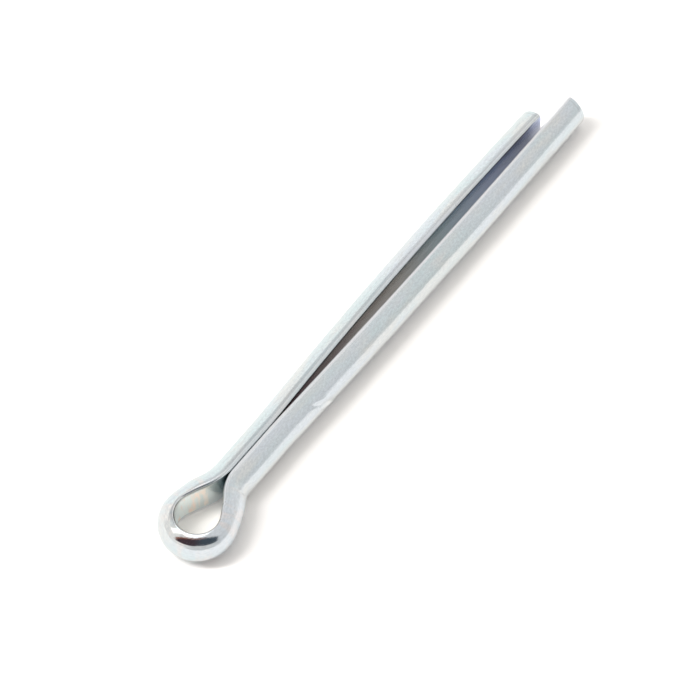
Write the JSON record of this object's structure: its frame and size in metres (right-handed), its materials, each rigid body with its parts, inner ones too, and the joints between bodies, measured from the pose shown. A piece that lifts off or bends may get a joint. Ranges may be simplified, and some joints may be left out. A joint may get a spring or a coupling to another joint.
{
  "type": "cotter pin",
  "caption": "Split cotter pin of half-round steel wire: a teardrop eye, a closed round shank and two legs of unequal length, sprung slightly apart.",
  "frame": {"origin": "on the shank's axis, where the two halves of the wire come together below the eye", "axes": "+X along the shank from the eye to the leg ends, +Z square to the flat side on which the pin lies, the longer leg on the -Y side"},
  "size_m": [0.0692, 0.0083, 0.0046],
  "materials": {
    "zinc_plated_steel": "bright zinc plate on drawn half-round wire"
  },
  "bodies": {
    "root": {"cotter_pin": "zinc_plated_steel"}
  },
  "joints": []
}
